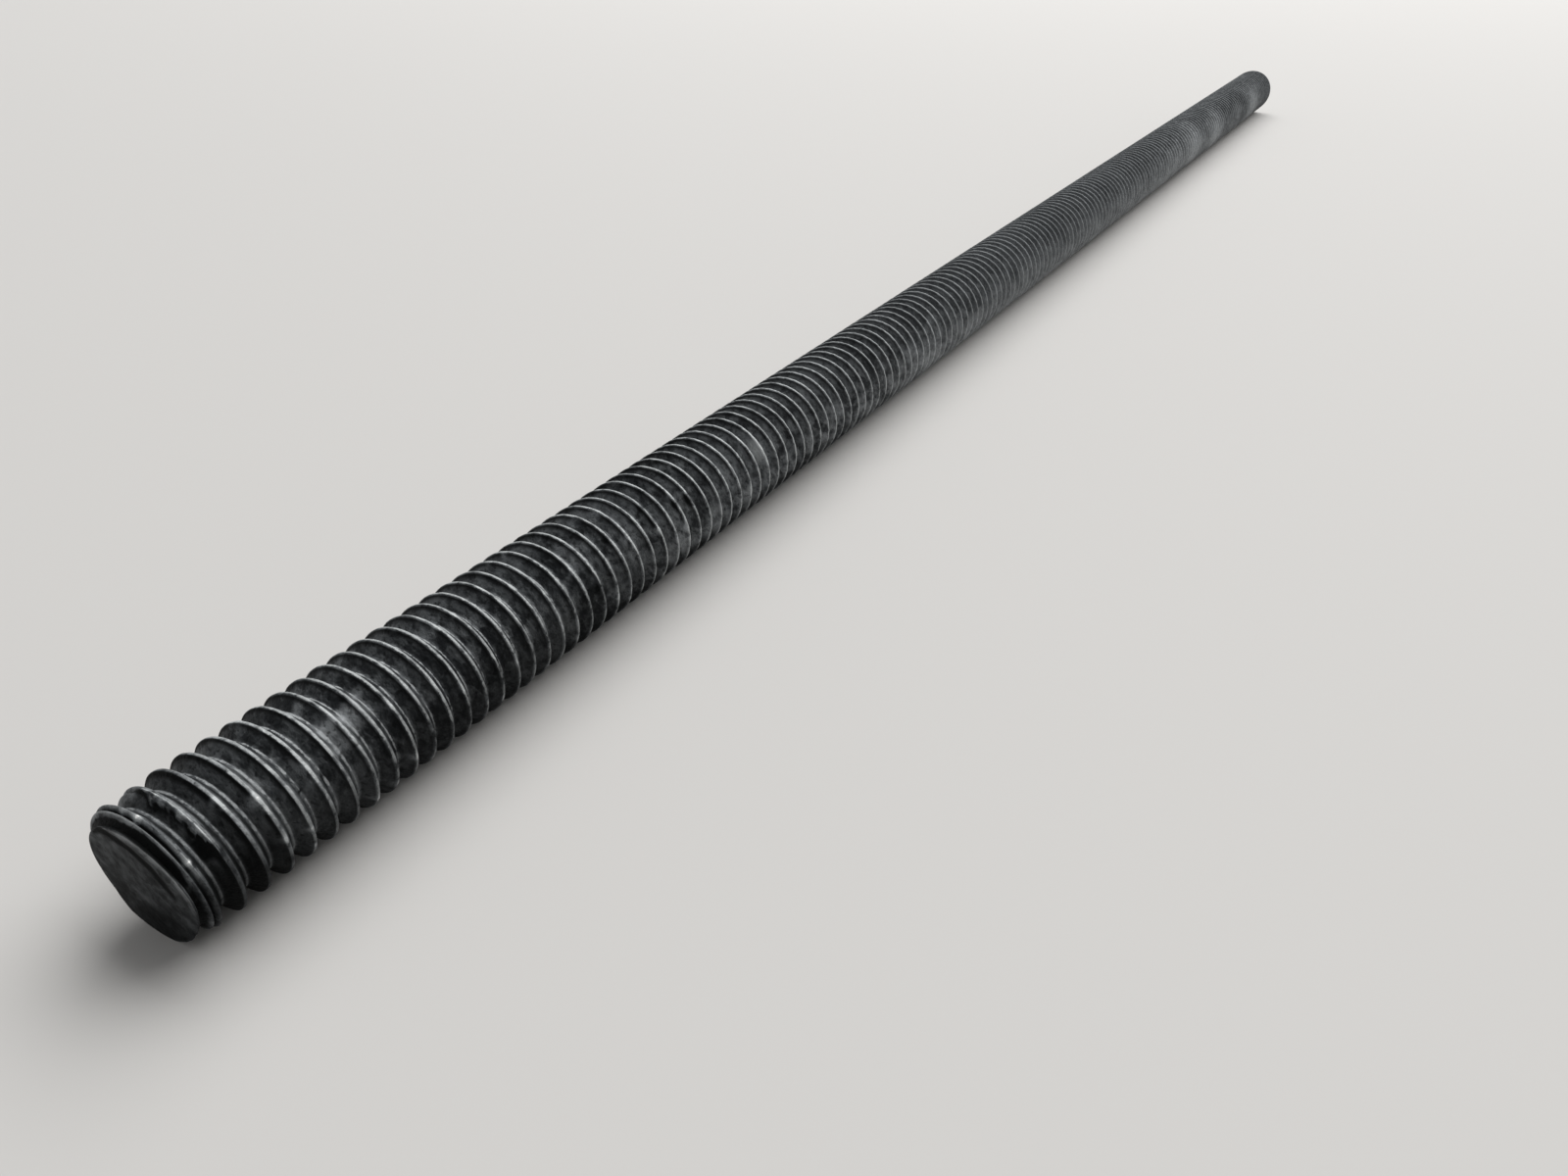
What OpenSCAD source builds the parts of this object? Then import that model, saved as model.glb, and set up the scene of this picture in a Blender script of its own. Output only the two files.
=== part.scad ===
// Threaded rod: a straight steel bar, threaded over its whole length.
// The rod lies along X with its middle at the origin. Its solid has the diameter
// over the thread's crests, so the fine thread itself is not cut into it.

/* [Rod] */
// Overall length, from end face to end face
rod_length = 295; // [20:0.05:1000]
// Major diameter, over the crests of the thread
major_d = 9.36; // [4:0.02:36]

/* [Cut end, at -X] */
// Radial depth of the broken edge round the cut end
cut_edge_depth = 0.4; // [0.1:0.05:1.2]
// Angle between the broken edge and the rod's axis
cut_edge_angle = 60; // [20:1:70]

/* [Chamfered end, at +X] */
// Radial depth of the chamfer, a little under the roots of the thread
chamfer_depth = 1.05; // [0.1:0.05:1.2]
// Angle between the chamfer and the rod's axis
chamfer_angle = 45; // [20:1:70]

/* [Hidden] */
$fn = 96;
major_r = major_d / 2;
// Length along the axis that each end's cone takes
cut_edge_length = cut_edge_depth / tan(cut_edge_angle);
chamfer_length = chamfer_depth / tan(chamfer_angle);

// Half of the rod's lengthwise section, as radius and place along the axis
function rod_section() = [
    [0, 0],
    [major_r - cut_edge_depth, 0],
    [major_r, cut_edge_length],
    [major_r, rod_length - chamfer_length],
    [major_r - chamfer_depth, rod_length],
    [0, rod_length]
];

// The whole rod, turned about its axis and laid along X
module threaded_rod() {
    color("#6b6f72")
    translate([-rod_length / 2, 0, 0])
    rotate([0, 90, 0])
    rotate_extrude()
    polygon(rod_section());
}

threaded_rod();
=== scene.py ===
"""Finish, thread and setting of a galvanised threaded rod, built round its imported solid.

Every length is in metres, in the solid's own frame: the rod lies along X with its middle at the
origin, its cut end at -X and its chamfered end at +X, and Z is up.
"""

import logging
import math
from dataclasses import dataclass, field

import bpy
import numpy as np
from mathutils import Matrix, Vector, noise


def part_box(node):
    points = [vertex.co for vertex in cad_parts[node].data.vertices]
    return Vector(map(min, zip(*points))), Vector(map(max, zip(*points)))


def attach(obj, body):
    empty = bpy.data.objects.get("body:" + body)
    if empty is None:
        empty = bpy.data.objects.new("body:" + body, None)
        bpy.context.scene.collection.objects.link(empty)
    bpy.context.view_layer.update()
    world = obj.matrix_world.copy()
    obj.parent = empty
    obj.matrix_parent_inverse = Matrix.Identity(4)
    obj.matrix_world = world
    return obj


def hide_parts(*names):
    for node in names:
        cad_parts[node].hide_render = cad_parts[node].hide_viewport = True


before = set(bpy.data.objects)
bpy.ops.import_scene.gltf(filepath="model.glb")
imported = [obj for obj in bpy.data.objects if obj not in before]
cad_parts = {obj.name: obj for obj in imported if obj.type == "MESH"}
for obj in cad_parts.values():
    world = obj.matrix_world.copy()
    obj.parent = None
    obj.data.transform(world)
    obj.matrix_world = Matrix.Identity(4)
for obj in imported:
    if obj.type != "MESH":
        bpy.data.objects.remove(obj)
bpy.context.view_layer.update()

LOG = logging.getLogger("threaded_rod")
MM = 0.001
PLAIN_SHARE = 0.25  # the thread_share of zinc that is neither on a crest nor in a root

Rows = tuple[tuple[float, ...], ...]
Mix = tuple[tuple[str, float], ...]


def linear(hex_colour: str) -> tuple[float, float, float, float]:
    """Turns an sRGB hex colour into the linear colour that a shader takes.

    Args:
        hex_colour: six hex digits, with or without a leading hash.

    Returns:
        Linear red, green and blue, and an alpha of one.
    """
    digits = hex_colour.lstrip("#")
    parts = [int(digits[i : i + 2], 16) / 255 for i in (0, 2, 4)]
    made = [c / 12.92 if c <= 0.04045 else ((c + 0.055) / 1.055) ** 2.4 for c in parts]
    return (*made, 1.0)


def add_node(tree: bpy.types.NodeTree, kind: str, links: dict | None = None, **settings) -> bpy.types.Node:
    """Adds one node to a tree, with its settings and the links into it.

    Args:
        tree: the node tree to add to.
        kind: the node's type name, without its leading ShaderNode.
        links: input name or number, to the output socket or the plain value that it takes.
        **settings: the node's own properties.

    Returns:
        The new node.
    """
    node = tree.nodes.new("ShaderNode" + kind)
    for name, value in settings.items():
        setattr(node, name, value)
    for name, value in (links or {}).items():
        if isinstance(value, bpy.types.NodeSocket):
            tree.links.new(value, node.inputs[name])
        else:
            node.inputs[name].default_value = value
    return node


def new_material(name: str) -> tuple[bpy.types.Material, bpy.types.NodeTree]:
    """Makes an empty node material.

    Args:
        name: the material's name.

    Returns:
        The material and its node tree.
    """
    material = bpy.data.materials.new(name)
    material.use_nodes = True
    material.node_tree.nodes.clear()
    return material, material.node_tree


def deselect_all() -> None:
    """Leaves no object selected, so that an operator acts only on what it is given."""
    for other in bpy.context.selected_objects:
        other.select_set(False)


def soft_min(first: np.ndarray, second: np.ndarray, reach: float) -> np.ndarray:
    """The lesser of two heights, with the corner between them rounded over a reach."""
    blend = np.clip(0.5 + 0.5 * (second - first) / reach, 0.0, 1.0)
    return second + (first - second) * blend - reach * blend * (1.0 - blend)


def sway(along: np.ndarray, across: np.ndarray, up: np.ndarray, size: float) -> np.ndarray:
    """Smooth noise from -1 to 1, whose bumps are about a given size across."""
    points = np.stack([along, across, up], axis=1) / size
    return np.array([noise.noise(Vector(point)) for point in points])


def trace(rows: Rows, places: np.ndarray) -> list[np.ndarray]:
    """Reads the lines drawn through rows of points.

    Args:
        rows: a place in each row, and then the height of each line there.
        places: where to read the lines.

    Returns:
        The heights of each line at those places.
    """
    stops, *lines = zip(*rows)
    return [np.interp(places, stops, line) for line in lines]


@dataclass(frozen=True)
class Span:
    """A stretch that values are eased over, from 0 to 1 unless its ends say otherwise.

    Args:
        low: where the easing starts.
        high: where it stops, which may be the lesser of the two.
        start: what it gives at low.
        stop: what it gives at high.
    """

    low: float
    high: float
    start: float = 0.0
    stop: float = 1.0

    def ease(self, values: np.ndarray) -> np.ndarray:
        """Eases values over the stretch.

        Args:
            values: the values.

        Returns:
            The eased values, from start to stop.
        """
        share = np.clip((values - self.low) / (self.high - self.low), 0.0, 1.0)
        eased = share * share * (3.0 - 2.0 * share)
        return self.start + (self.stop - self.start) * eased

    def links(self, value: bpy.types.NodeSocket, **ends: bpy.types.NodeSocket) -> dict:
        """Gives what a Map Range node takes to ease a value of a finish in the same way.

        Args:
            value: the value.
            **ends: start or stop, where it is a value of the finish too.

        Returns:
            The node's inputs.
        """
        return {
            "Value": value,
            "From Min": self.low,
            "From Max": self.high,
            "To Min": ends.get("start", self.start),
            "To Max": ends.get("stop", self.stop),
        }


@dataclass(frozen=True)
class GalvanisedSteel:
    """Hot-dip galvanised steel, weathered.

    The zinc has dulled to a streaky dark grey, with faint angular spangle and paler bloom, and is
    painted paler on one lower side as painted light. Its crests are bright, partly from rubbing by
    nuts and other rods and partly as a painted highlight, and a painted highlight runs along the roots.
    It gives the eye a dark thread ruled with fine pale lines.

    A mix adds up named patterns and attributes, each times its weight. Where a value has two
    numbers, they are what it is where the marks of handling are fresh and where they have faded.
    """

    name: str = "hot_dip_galvanised_steel"
    dull: str = "#343638"
    bloom: str = "#75787a"
    pale_bloom_and_painted_light: str = "#acafb1"
    # Dark pits, and the colour that painted shade darkens to.
    pit_and_shade: str = "#161717"
    # Painted highlight along the roots.
    root_highlight: str = "#adb0b1"
    # Crest lines: worn bright, and partly a painted highlight.
    rubbed_and_highlight: str = "#b3b6b6"
    fresh: str = "#f4f4f2"
    streak_size: float = 0.35 * MM
    streak_stretch: float = 2.5
    spangle_size: float = 1.0 * MM
    blotch_size: float = 2.4 * MM
    patch_size: float = 8.0 * MM
    grain_size: float = 0.45 * MM
    lump_size: float = 0.9 * MM
    cloud_detail: float = 4.0
    cloud_roughness: float = 0.6
    cloud_span: Span = Span(0.3, 0.7)
    tone_mix: Mix = (("streak", 0.35), ("spangle", 0.3), ("blotch", 0.2), ("patch", 0.3))
    tone_start: float = -0.08
    tone_span: Span = Span(0.2, 0.8)
    darkest: tuple[float, float] = (0.0, 0.38)
    palest: tuple[float, float] = (1.0, 0.62)
    bloom_mix: Mix = (("blotch", 0.5), ("spangle", 0.2), ("streak", 0.25))
    bloom_start: float = -0.42
    bloom_share: tuple[float, float] = (1.0, 0.4)
    bloom_span: Span = Span(0.1, 1.2)
    pit_span: Span = Span(0.25, 0.0)
    pit_share: tuple[float, float] = (0.6, 0.1)
    edge_mix: Mix = (("lump", -0.035), ("grain", -0.02), ("thread_share", 1.0))
    edge_start: float = 0.0275
    root_span: Span = Span(0.445, 0.475)
    crest_span: Span = Span(0.085, 0.05)
    nodule_span: Span = Span(0.0, 0.7)
    nodule_least: tuple[float, float] = (0.55, 0.95)
    fresh_span: Span = Span(1.0, 1.6)
    dark_span: Span = Span(-0.2, -1.0)
    # Places darkened with painted shade or soiling lose their metal sheen.
    metallic: Span = Span(-0.2, -1.0, start=0.5, stop=0.0)
    roughness: Span = Span(0.0, 1.0, start=0.58, stop=0.64)
    specular: float = 0.02
    relief_mix: Mix = (("lump", 0.5), ("grain", 0.5))
    relief: float = 0.1 * MM
    relief_strength: Span = Span(0.0, 0.1, start=0.2, stop=0.7)

    def make(self) -> bpy.types.Material:
        """Builds the material.

        Returns:
            The finished material, which reads Object coordinates and the rod's own attributes.
        """
        material, tree = new_material(self.name)
        values = self.read(tree)
        wear_and_painted_light = values["wear_and_painted_light"]
        shine = values["shine"]
        soft = {"interpolation_type": "SMOOTHSTEP"}

        # The dull zinc's tone, which evens out where the marks have faded.
        tone = self.blend(tree, values, self.tone_mix, self.tone_start)
        darkest = self.fade(tree, values, *self.darkest)
        palest = self.fade(tree, values, *self.palest)
        links = self.tone_span.links(tone, start=darkest, stop=palest)
        tone = add_node(tree, "MapRange", links, **soft).outputs[0]

        # Pale bloom in clouds and from the bloom attribute, which also holds painted light on one lower
        # side, and dark pits.
        cloudy = self.blend(tree, values, self.bloom_mix, self.bloom_start)
        links = {0: cloudy, 1: self.fade(tree, values, *self.bloom_share), 2: values["bloom"]}
        bloomed_and_lit = add_node(tree, "Math", links, operation="MULTIPLY_ADD").outputs[0]
        bloomed_and_lit = add_node(tree, "MapRange", self.bloom_span.links(bloomed_and_lit), **soft).outputs[0]
        links = self.pit_span.links(values["grain"], stop=self.fade(tree, values, *self.pit_share))
        pitted = add_node(tree, "MapRange", links, **soft).outputs[0]

        # Painted highlights in the roots, and bright lines along the crests that are partly worn and partly
        # painted highlight, both with ragged edges, and nodules worn bright.
        edge = self.blend(tree, values, self.edge_mix, self.edge_start)
        root = add_node(tree, "MapRange", self.root_span.links(edge, stop=shine), **soft).outputs[0]
        crest = add_node(tree, "MapRange", self.crest_span.links(edge, stop=shine), **soft).outputs[0]
        links = self.nodule_span.links(values["lump"], start=self.fade(tree, values, *self.nodule_least))
        nodular = add_node(tree, "MapRange", links, **soft).outputs[0]
        links = {0: crest, 1: nodular, 2: wear_and_painted_light}
        rub_and_highlight = add_node(tree, "Math", links, operation="MULTIPLY_ADD", use_clamp=True).outputs[0]
        fresh = add_node(tree, "MapRange", self.fresh_span.links(wear_and_painted_light), **soft).outputs[0]
        # Below zero, wear_and_painted_light darkens the zinc to the pit_and_shade colour: soiling, nicks,
        # and painted shade in the flanks, roots and groove and on the shaded side.
        dark = add_node(tree, "MapRange", self.dark_span.links(wear_and_painted_light), **soft).outputs[0]

        layers = (
            (tone, self.bloom),
            (bloomed_and_lit, self.pale_bloom_and_painted_light),
            (pitted, self.pit_and_shade),
            (root, self.root_highlight),
            (rub_and_highlight, self.rubbed_and_highlight),
            (fresh, self.fresh),
            (dark, self.pit_and_shade),
        )
        colour = linear(self.dull)
        for share, over in layers:
            links = {0: share, 6: colour, 7: linear(over)}
            colour = add_node(tree, "Mix", links, data_type="RGBA").outputs[2]

        links = {
            "Height": self.blend(tree, values, self.relief_mix),
            "Strength": add_node(tree, "MapRange", self.relief_strength.links(shine), **soft).outputs[0],
            "Distance": self.relief,
        }
        bump = add_node(tree, "Bump", links)
        links = {
            "Base Color": colour,
            "Metallic": add_node(tree, "MapRange", self.metallic.links(wear_and_painted_light), **soft).outputs[0],
            "Specular IOR Level": self.specular,
            "Roughness": add_node(tree, "MapRange", self.roughness.links(rub_and_highlight), **soft).outputs[0],
            "Normal": bump.outputs[0],
        }
        shader = add_node(tree, "BsdfPrincipled", links)
        add_node(tree, "OutputMaterial", {"Surface": shader.outputs[0]})
        return material

    def read(self, tree: bpy.types.NodeTree) -> dict[str, bpy.types.NodeSocket]:
        """Reads the rod's attributes and draws the zinc's patterns at their real sizes.

        Args:
            tree: the node tree to add to.

        Returns:
            Each attribute and pattern by its name. The patterns go from 0 to 1.
        """
        values = {}
        for name in ("thread_share", "wear_and_painted_light", "bloom", "shine", "faded"):
            values[name] = add_node(tree, "Attribute", attribute_name=name).outputs["Fac"]
        place = add_node(tree, "TexCoord").outputs["Object"]
        squeeze = (1.0, 1 / self.streak_stretch, 1 / self.streak_stretch)
        drawn = add_node(tree, "VectorMath", {0: place, 1: squeeze}, operation="MULTIPLY").outputs[0]
        clouds = (
            ("streak", drawn, self.streak_size),
            ("blotch", place, self.blotch_size),
            ("patch", place, self.patch_size),
            ("grain", place, self.grain_size),
            ("lump", place, self.lump_size),
        )
        for name, vector, size in clouds:
            links = {
                "Vector": vector,
                "Scale": 1 / size,
                "Detail": self.cloud_detail,
                "Roughness": self.cloud_roughness,
            }
            links = self.cloud_span.links(add_node(tree, "TexNoise", links).outputs["Fac"])
            soft = add_node(tree, "MapRange", links, interpolation_type="SMOOTHSTEP")
            values[name] = soft.outputs[0]
        cells = {"Vector": place, "Scale": 1 / self.spangle_size}
        values["spangle"] = add_node(tree, "TexVoronoi", cells).outputs["Color"]
        return values

    def blend(
        self, tree: bpy.types.NodeTree, values: dict, mix: Mix, start: float = 0.0
    ) -> bpy.types.NodeSocket:
        """Adds up values, each times its own weight, from a start.

        Args:
            tree: the node tree to add to.
            values: each attribute and pattern by its name.
            mix: the names of the values to add up, each with its weight.
            start: what to add them to.

        Returns:
            The sum.
        """
        total = start
        for name, weight in mix:
            links = {0: values[name], 1: weight, 2: total}
            total = add_node(tree, "Math", links, operation="MULTIPLY_ADD").outputs[0]
        return total

    def fade(self, tree: bpy.types.NodeTree, values: dict, near: float, far: float) -> bpy.types.NodeSocket:
        """Goes from one value to another as the marks of handling fade."""
        return self.blend(tree, values, (("faded", far - near),), near)


@dataclass(frozen=True)
class PaleBoard:
    """Matt laminated board, off-white: a plain pale ground that keeps a soft shadow."""

    name: str = "matt_laminated_board"
    colour: str = "#cdcbc8"
    roughness: float = 0.75
    specular: float = 0.3

    def make(self) -> bpy.types.Material:
        """Builds the material.

        Returns:
            The finished material.
        """
        material, tree = new_material(self.name)
        links = {
            "Base Color": linear(self.colour),
            "Roughness": self.roughness,
            "Specular IOR Level": self.specular,
        }
        shader = add_node(tree, "BsdfPrincipled", links)
        add_node(tree, "OutputMaterial", {"Surface": shader.outputs[0]})
        return material


@dataclass(frozen=True)
class ThreadForm:
    """A rolled 60 degree thread, right-hand.

    Places across it are in pitches from a crest. The row places are where the mesh has its rows of
    points, from a crest to a root.
    """

    pitch: float = 25.4 * MM / 16
    start_turn: float = 0.5438  # the turn number where the cut end crosses the +Y side
    crest_radius: float = 4.66 * MM
    root_radius: float = 3.78 * MM
    crest_half: float = 0.062
    crest_round: float = 0.07 * MM
    root_round: float = 0.20 * MM
    flank_slope: float = 1 / math.tan(math.radians(30))
    row_places: tuple[float, ...] = (0.0, 0.03, 0.055, 0.08, 0.11, 0.165, 0.225, 0.30, 0.37, 0.43, 0.5)
    # How far the painted highlights along the crests and roots are moved to one side, where the lamp puts
    # them.
    highlight_shift: float = 0.0225
    # Place across the thread, and how dark its painted shade is there, darkest just before the crest and in
    # the far flank.
    flank_shade: Rows = (
        (-0.50, 0.0),
        (-0.43, -0.55),
        (-0.36, -0.42),
        (-0.28, -0.30),
        (-0.20, -0.40),
        (-0.15, -0.65),
        (-0.11, -0.9),
        (-0.08, -0.7),
        (-0.055, -0.1),
        (0.12, 0.0),
        (0.24, -0.56),
        (0.36, -0.62),
        (0.45, 0.0),
    )

    def spread(self, share: np.ndarray) -> np.ndarray:
        """Moves evenly wound rows to where the section bends."""
        return np.interp(share, np.linspace(0.0, 0.5, len(self.row_places)), self.row_places)

    def highlight_share(self, offset: np.ndarray) -> np.ndarray:
        """Place across the thread for the finish, moved a little to one side so that the bright lines sit
        where the lamp puts their highlights.
        """
        moved = offset - self.highlight_shift * np.cos(offset * math.tau)
        return np.abs(moved - np.round(moved))

    def radius(self, share: np.ndarray) -> np.ndarray:
        """Works out the section's radius.

        Args:
            share: places across the thread, from 0 on a crest to 0.5 in a root.

        Returns:
            The radius at each place.
        """
        flank = self.crest_radius - (share - self.crest_half) * self.pitch * self.flank_slope
        top = soft_min(np.full_like(flank, self.crest_radius), flank, self.crest_round)
        return -soft_min(-top, np.full_like(flank, -self.root_radius), self.root_round)


@dataclass
class Skin:
    """The thread's surface, as arrays with one value for each point.

    Args:
        along: place along X.
        from_cut: distance along the rod from its cut end.
        angle: angle about X from +Y.
        turn: turn number, which is whole on a crest and half in a root.
        seat: place of the point's own crest along the rod, in pitches from the cut end.
        placed: place across the thread, in pitches from that crest, less than zero towards the cut end.
        radius: distance from the rod's middle line.
        wear_and_painted_light: how far it is worn bright, with painted highlights, or less than zero where
            it is soiled or darkened with painted shade.
        bloom: how pale the zinc is, with painted light on one lower side.
    """

    along: np.ndarray
    from_cut: np.ndarray
    angle: np.ndarray
    turn: np.ndarray
    seat: np.ndarray
    placed: np.ndarray
    radius: np.ndarray
    wear_and_painted_light: np.ndarray
    bloom: np.ndarray

    @property
    def share(self) -> np.ndarray:
        """Place across the thread, from 0 on a crest to 0.5 in a root."""
        return np.abs(self.placed)

    def ripple(self, radius: float, size: float) -> np.ndarray:
        """Draws noise over the rod, as if it were a plain cylinder.

        Args:
            radius: the cylinder's radius.
            size: about how far across its bumps are.

        Returns:
            Smooth noise from -1 to 1.
        """
        return sway(self.along, radius * np.cos(self.angle), radius * np.sin(self.angle), size)


@dataclass(frozen=True)
class CrestLap:
    """The open lap in the first turns' crest: a low ridge, and a groove between it and the crest.

    Places across it are in pitches from the crest, and less than zero towards the cut end. The lap
    closes and fades by the crest's place along the rod, in pitches from the cut end. Where it closes,
    it is smeared down the flank, and painted shade darkens the root before it.
    """

    closing: Span = Span(1.60, 1.68, start=1.0, stop=0.0)
    row_places: tuple[float, ...] = (0.0, 0.035, 0.07, 0.105, 0.135, 0.165, 0.195, 0.225, 0.30, 0.42, 0.5)
    # Place across the lap, depth below the crest in millimetres, and how bright or dark it is; the groove
    # and the root before the ridge are dark with painted shade.
    section: Rows = (
        (-0.30, 0.654, -0.8),
        (-0.225, 0.36, 0.9),
        (-0.195, 0.25, 0.95),
        (-0.165, 0.23, 0.85),
        (-0.135, 0.36, -0.2),
        (-0.105, 0.44, -0.8),
        (-0.07, 0.44, -0.8),
        (-0.035, 0.30, -0.4),
        (0.0, 0.14, -0.1),
        (0.055, 0.08, 0.0),
        (0.11, 0.16, 0.0),
        (0.165, 0.28, 0.0),
    )
    fading: Span = Span(0.82, 0.92, start=1.0, stop=0.35)
    # Turn number, and how deep the painted shade in the root is there.
    root_shade_turns: Rows = ((0.22, 0.0), (0.36, 1.0), (0.66, 1.0), (0.73, 0.0))
    root_shade_starts: Span = Span(math.radians(85), math.radians(115), start=0.55, stop=1.0)
    root_shade_ends: Span = Span(math.radians(138), math.radians(166), start=1.0, stop=0.0)
    root_shade_wear: float = -1.2
    # Place of the crest, reach of the smear down the flank, and its height in millimetres.
    smears: Rows = (
        (1.67, 0.0, 0.0),
        (1.70, 0.21, 0.06),
        (1.73, 0.20, 0.09),
        (1.77, 0.17, 0.11),
        (1.81, 0.17, 0.10),
        (1.85, 0.15, 0.06),
        (1.89, 0.0, 0.0),
    )
    smear_start: float = -0.02
    smear_least: float = 0.01
    smear_grain: float = 0.5 * MM
    smear_ragged: float = 0.6
    smear_lumps: tuple[float, float] = (0.8, 0.8)
    smear_wear: tuple[float, float] = (0.5, 0.8)
    smear_cover: float = 0.9
    smear_edge: Span = Span(-1.0, -0.8)
    shade_edge: Span = Span(-1.7, -1.1)
    shade_wear: float = -0.35

    def opening(self, seat: np.ndarray) -> np.ndarray:
        """How far open the lap is, from 0 to 1, by the place of each point's crest in pitches."""
        return self.closing.ease(seat)

    def spread(self, offset: np.ndarray) -> np.ndarray:
        """Moves evenly wound rows to where the lap bends, on the side towards the cut end."""
        return -np.interp(-offset, np.linspace(0.0, 0.5, len(self.row_places)), self.row_places)

    def press(self, skin: Skin, crest_radius: float) -> None:
        """Presses the ridge and the groove into the crest.

        Args:
            skin: the thread's surface.
            crest_radius: the radius that the depths are below.
        """
        first, last = self.section[0][0], self.section[-1][0]
        lapped = self.opening(skin.seat) * (skin.placed > first) * (skin.placed < last)
        depth, wear_and_painted_light = trace(self.section, skin.placed)
        skin.radius = skin.radius + (crest_radius - MM * depth - skin.radius) * lapped
        skin.wear_and_painted_light = skin.wear_and_painted_light + (wear_and_painted_light * self.fading.ease(skin.seat) - skin.wear_and_painted_light) * lapped

    def fill(self, skin: Skin) -> None:
        """Darkens the root before the lap with painted shade.

        Args:
            skin: the thread's surface.
        """
        (root_shaded,) = trace(self.root_shade_turns, skin.turn)
        root_shaded = root_shaded * self.root_shade_starts.ease(skin.angle) * self.root_shade_ends.ease(skin.angle)
        skin.wear_and_painted_light = skin.wear_and_painted_light + self.root_shade_wear * root_shaded

    def smear(self, skin: Skin, crest_radius: float) -> None:
        """Smears the closing lap down the flank, with a ragged edge and shade beyond it.

        Args:
            skin: the thread's surface.
            crest_radius: the radius that its ragged edge is drawn at.
        """
        ragged = skin.ripple(crest_radius, self.smear_grain)
        width, height = trace(self.smears, skin.seat)
        width = np.maximum(width * (1.0 + self.smear_ragged * ragged), self.smear_least)
        before = skin.placed < self.smear_start
        smeared = self.smear_edge.ease(skin.placed / width) * before
        shaded = self.shade_edge.ease(skin.placed / width) * before * (1.0 - smeared)
        level, lumps = self.smear_lumps
        skin.radius = skin.radius + MM * height * smeared * (level + lumps * ragged)
        bright, mottled = self.smear_wear
        rubbed_and_highlight = bright + mottled * ragged
        skin.wear_and_painted_light = skin.wear_and_painted_light + (rubbed_and_highlight - skin.wear_and_painted_light) * smeared * self.smear_cover
        skin.wear_and_painted_light = skin.wear_and_painted_light + self.shade_wear * shaded


@dataclass(frozen=True)
class Blemish:
    """A nodule of zinc, a nick, a patch of bloom or a patch of painted shade on the thread.

    Args:
        turn: turn number at its middle, which is whole on a crest and half in a root.
        angle: place round the rod, in degrees from +Y towards +Z.
        size: how far it reaches.
        height: how far it stands out, or less than zero for a nick.
        wear_and_painted_light: how far it is worn bright, or less than zero for a dark mark or painted
            shade.
        bloom: how pale the zinc is there.
    """

    turn: float
    angle: float
    size: float
    height: float = 0.0
    wear_and_painted_light: float = 0.0
    bloom: float = 0.0

    def mark(self, skin: Skin, form: ThreadForm) -> None:
        """Marks the thread with the blemish, less and less away from its middle.

        Args:
            skin: the thread's surface.
            form: the thread's section and pitch.
        """
        spot = (self.turn - form.start_turn + self.angle / 360) * form.pitch
        turned = (skin.angle - math.radians(self.angle) + math.pi) % math.tau - math.pi
        reach = np.hypot(skin.from_cut - spot, turned * form.crest_radius)
        felt = np.exp(-((reach / self.size) ** 2))
        skin.radius = skin.radius + self.height * felt
        skin.wear_and_painted_light = skin.wear_and_painted_light + self.wear_and_painted_light * felt
        skin.bloom = skin.bloom + self.bloom * felt


@dataclass(frozen=True)
class Scatter:
    """Small nodules and nicks, strewn along the crests of the first turns.

    Each pair is the range that a value is drawn from. Sizes and heights are in millimetres, and
    angles are in degrees.
    """

    count: int = 110
    seed: int = 16
    turns: tuple[int, int] = (4, 38)
    drift: float = 0.02
    angles: tuple[float, float] = (60, 215)
    sizes: tuple[float, float] = (0.12, 0.3)
    heights: tuple[float, float] = (-0.05, 0.05)
    wears: tuple[float, float] = (-0.3, 0.95)

    def blemishes(self) -> list[Blemish]:
        """Draws the blemishes, which are the same at every build.

        Returns:
            The blemishes.
        """
        draw = np.random.default_rng(self.seed)
        return [
            Blemish(
                turn=draw.integers(*self.turns) + draw.normal(0.0, self.drift),
                angle=draw.uniform(*self.angles),
                size=draw.uniform(*self.sizes) * MM,
                height=draw.uniform(*self.heights) * MM,
                wear_and_painted_light=draw.uniform(*self.wears),
            )
            for _ in range(self.count)
        ]


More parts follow.
